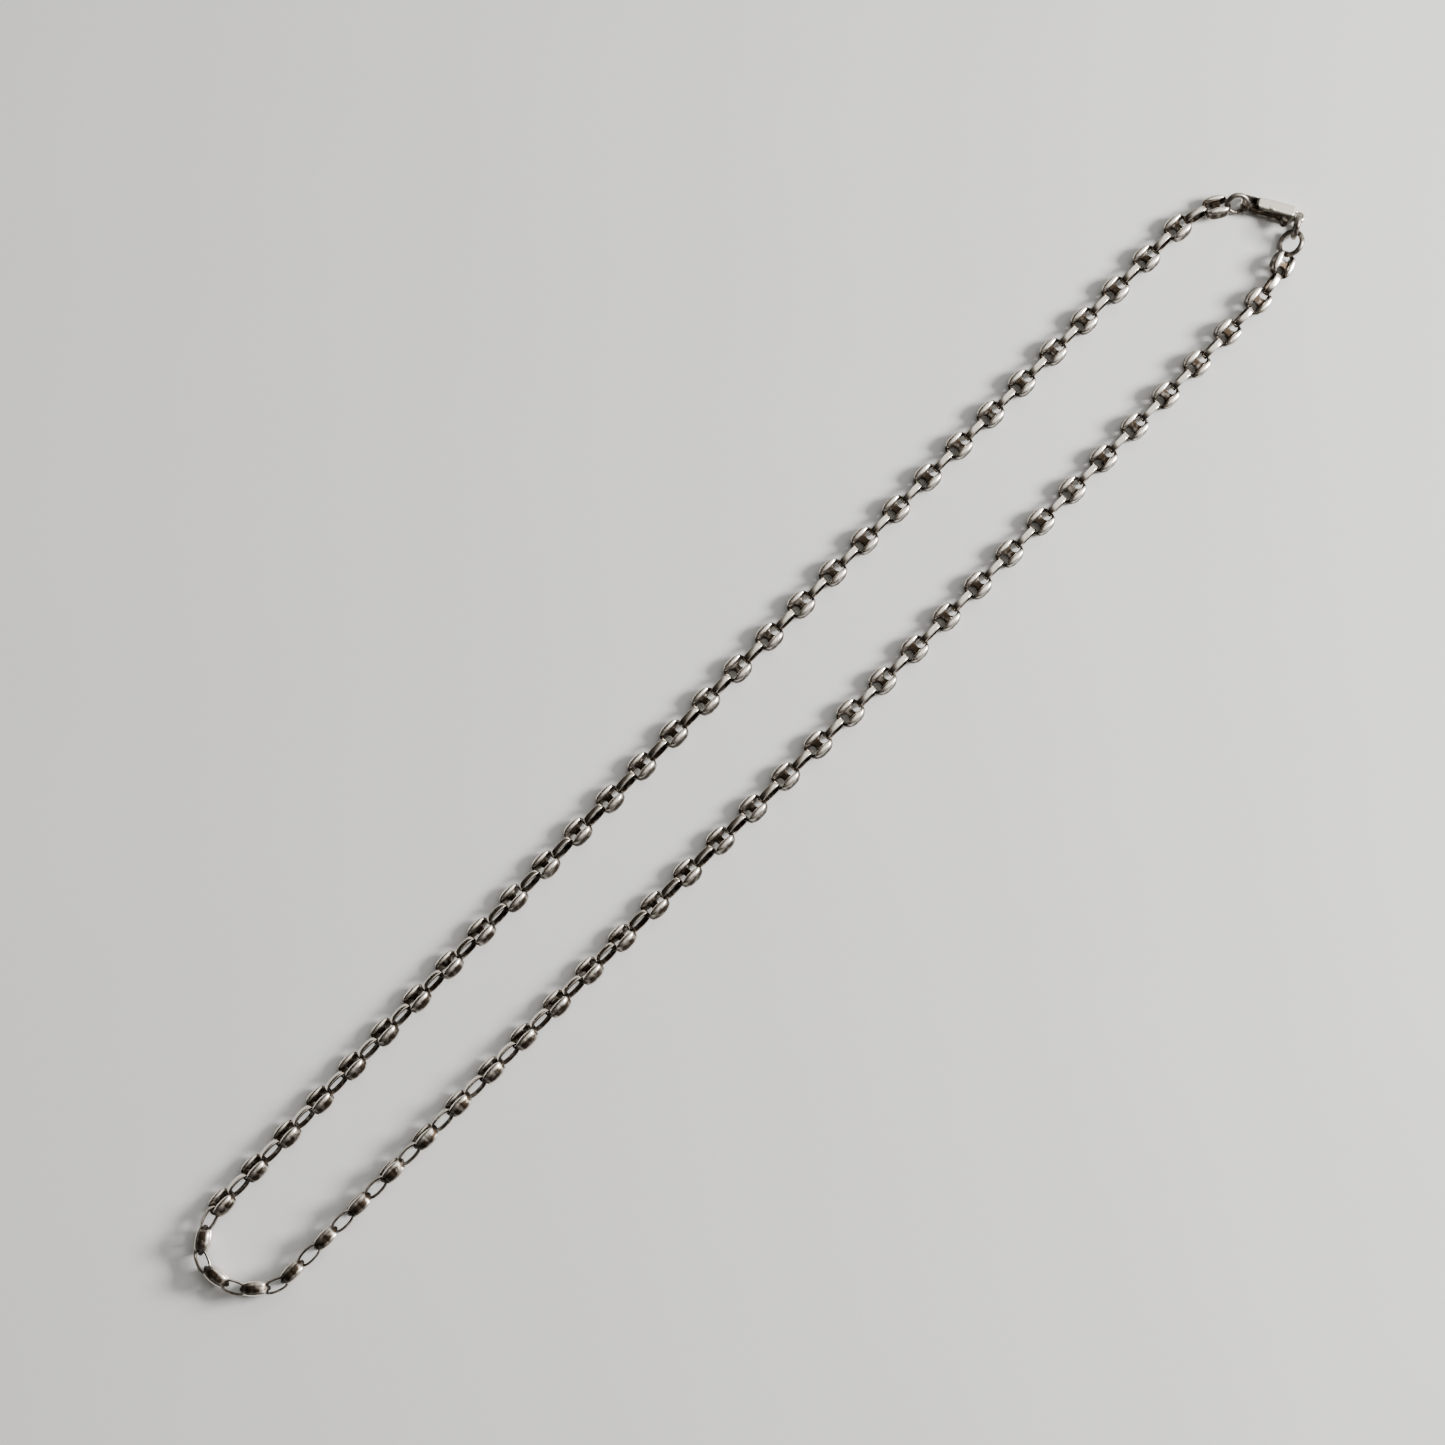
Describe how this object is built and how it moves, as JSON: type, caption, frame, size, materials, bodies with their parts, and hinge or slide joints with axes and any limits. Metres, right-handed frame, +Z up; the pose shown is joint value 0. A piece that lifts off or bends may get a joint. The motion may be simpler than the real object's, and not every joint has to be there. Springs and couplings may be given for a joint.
{
  "type": "chain necklace",
  "caption": "Necklace of puffed bean-shaped links and flat oval connectors that closes with a sprung claw clasp and jump rings.",
  "frame": {"origin": "bottom centre of the bounding box, on the table plane", "axes": "+X runs along the hairpin from the bend to the clasp, +Y towards the left strand, +Z up from the table"},
  "size_m": [0.2436, 0.0224, 0.0046],
  "materials": {
    "aged_silver": "worn bright silver with brown tarnish in the sunk channels and eyes",
    "polished_silver": "satin polished silver",
    "spring_steel": "bright drawn wire"
  },
  "bodies": {
    "bend": {"bend_link": "aged_silver", "left_bend_connector_1": "aged_silver", "right_bend_connector_1": "aged_silver"},
    "left_lower": {"left_bend_link_1": "aged_silver", "left_bend_connector_2": "aged_silver", "left_bend_link_2": "aged_silver", "left_bend_connector_3": "aged_silver", "left_links_01": "aged_silver", "left_connectors_01": "aged_silver", "left_links_02": "aged_silver", "left_connectors_02": "aged_silver", "left_links_03": "aged_silver", "left_connectors_03": "aged_silver"},
    "left_middle": {"left_links_04": "aged_silver", "left_connectors_04": "aged_silver", "left_links_05": "aged_silver", "left_connectors_05": "aged_silver", "left_links_06": "aged_silver", "left_connectors_06": "aged_silver"},
    "left_far": {"left_links_07": "aged_silver", "left_connectors_07": "aged_silver"},
    "left_upper": {"left_links_08": "aged_silver", "left_connectors_08": "aged_silver", "left_links_09": "aged_silver", "left_connectors_09": "aged_silver", "left_links_10": "aged_silver", "left_connectors_10": "aged_silver"},
    "left_end": {"left_end_link": "aged_silver"},
    "catch_ring": {"catch_ring": "polished_silver"},
    "right_lower": {"right_bend_link_1": "aged_silver", "right_bend_connector_2": "aged_silver", "right_bend_link_2": "aged_silver", "right_bend_connector_3": "aged_silver", "right_links_01": "aged_silver", "right_connectors_01": "aged_silver", "right_links_02": "aged_silver", "right_connectors_02": "aged_silver", "right_links_03": "aged_silver", "right_connectors_03": "aged_silver"},
    "right_middle": {"right_links_04": "aged_silver", "right_connectors_04": "aged_silver", "right_links_05": "aged_silver", "right_connectors_05": "aged_silver", "right_links_06": "aged_silver", "right_connectors_06": "aged_silver"},
    "right_far": {"right_links_07": "aged_silver", "right_connectors_07": "aged_silver"},
    "right_upper": {"right_links_08": "aged_silver", "right_connectors_08": "aged_silver", "right_links_09": "aged_silver", "right_connectors_09": "aged_silver", "right_links_10": "aged_silver", "right_connectors_10": "aged_silver"},
    "right_end": {"right_end_link": "aged_silver"},
    "tail_ring": {"tail_ring": "polished_silver"},
    "clasp_ring": {"clasp_ring": "polished_silver"},
    "claw": {"claw_body": "polished_silver", "claw_rivet": "polished_silver", "claw_spring": "spring_steel"},
    "lever": {"claw_lever": "polished_silver"}
  },
  "joints": [
    {"name": "left_bend_hinge", "type": "hinge", "parent": "bend", "child": "left_lower", "pos_m": [-0.11985, 0.00407, 0.00225], "axis": [0, 0, 1], "range_deg": [0, 12]},
    {"name": "left_middle_hinge", "type": "hinge", "parent": "left_lower", "child": "left_middle", "pos_m": [-0.04134, 0.00861, 0.00175], "axis": [0, 0, 1], "range_deg": [-14, 0]},
    {"name": "left_fold", "type": "hinge", "parent": "left_middle", "child": "left_far", "pos_m": [0.02333, 0.00901, 0.00138], "axis": [0, 1, 0], "range_deg": [-35, 35]},
    {"name": "left_upper_hinge", "type": "hinge", "parent": "left_far", "child": "left_upper", "pos_m": [0.04589, 0.00898, 0.00132], "axis": [0, 0, 1], "range_deg": [-16.32, 0]},
    {"name": "left_end_hinge", "type": "hinge", "parent": "left_upper", "child": "left_end", "pos_m": [0.11087, 0.00753, 0.00163], "axis": [0, 0, 1], "range_deg": [0, 8.34]},
    {"name": "catch_ring_hinge", "type": "hinge", "parent": "left_end", "child": "catch_ring", "pos_m": [0.11382, 0.00567, 0.00163], "axis": [0, 0, 1], "range_deg": [0, 8.28]},
    {"name": "right_bend_hinge", "type": "hinge", "parent": "bend", "child": "right_lower", "pos_m": [-0.11919, -0.0041, 0.00225], "axis": [0, 0, 1], "range_deg": [-14.44, 0]},
    {"name": "right_middle_hinge", "type": "hinge", "parent": "right_lower", "child": "right_middle", "pos_m": [-0.0412, -0.008, 0.00184], "axis": [0, 0, 1], "range_deg": [0, 14.44]},
    {"name": "right_fold", "type": "hinge", "parent": "right_middle", "child": "right_far", "pos_m": [0.02333, -0.00887, 0.00138], "axis": [0, 1, 0], "range_deg": [-35, 35]},
    {"name": "right_upper_hinge", "type": "hinge", "parent": "right_far", "child": "right_upper", "pos_m": [0.04611, -0.00894, 0.00131], "axis": [0, 0, 1], "range_deg": [0, 15.75]},
    {"name": "right_end_hinge", "type": "hinge", "parent": "right_upper", "child": "right_end", "pos_m": [0.11115, -0.00824, 0.00166], "axis": [0, 0, 1], "range_deg": [-6.71, 0]},
    {"name": "tail_ring_hinge", "type": "hinge", "parent": "right_end", "child": "tail_ring", "pos_m": [0.11449, -0.00716, 0.00166], "axis": [0, 0, 1], "range_deg": [-4.42, 0]},
    {"name": "clasp_ring_hinge", "type": "hinge", "parent": "tail_ring", "child": "clasp_ring", "pos_m": [0.11778, -0.00556, 0.00204], "axis": [0, 0, 1], "range_deg": [-4.58, 0]},
    {"name": "claw_hinge", "type": "hinge", "parent": "clasp_ring", "child": "claw", "pos_m": [0.12056, -0.00405, 0.00155], "axis": [0, 0, 1], "range_deg": [-4.77, 0]},
    {"name": "lever_open", "type": "hinge", "parent": "claw", "child": "lever", "pos_m": [0.11798, -0.00034, 0.00165], "axis": [-0.3696, -0.2049, -0.9063], "range_deg": [0, 18], "stiffness_Nm_per_rad": 0.00002, "deforming": ["claw_spring"]}
  ],
  "couplings": [
    {"joint": "left_middle_hinge", "follows": "left_bend_hinge", "ratio": -1.0001},
    {"joint": "left_upper_hinge", "follows": "left_bend_hinge", "ratio": -1.1939},
    {"joint": "left_end_hinge", "follows": "left_bend_hinge", "ratio": 0.52837},
    {"joint": "catch_ring_hinge", "follows": "left_bend_hinge", "ratio": 0.52356},
    {"joint": "right_bend_hinge", "follows": "left_bend_hinge", "ratio": -1.0372},
    {"joint": "right_middle_hinge", "follows": "left_bend_hinge", "ratio": 1.0371},
    {"joint": "right_upper_hinge", "follows": "left_bend_hinge", "ratio": 1.1461},
    {"joint": "right_end_hinge", "follows": "left_bend_hinge", "ratio": -0.39228},
    {"joint": "tail_ring_hinge", "follows": "left_bend_hinge", "ratio": -0.20198},
    {"joint": "clasp_ring_hinge", "follows": "left_bend_hinge", "ratio": -0.21513},
    {"joint": "claw_hinge", "follows": "left_bend_hinge", "ratio": -0.23129},
    {"joint": "right_fold", "follows": "left_fold", "ratio": 1}
  ]
}
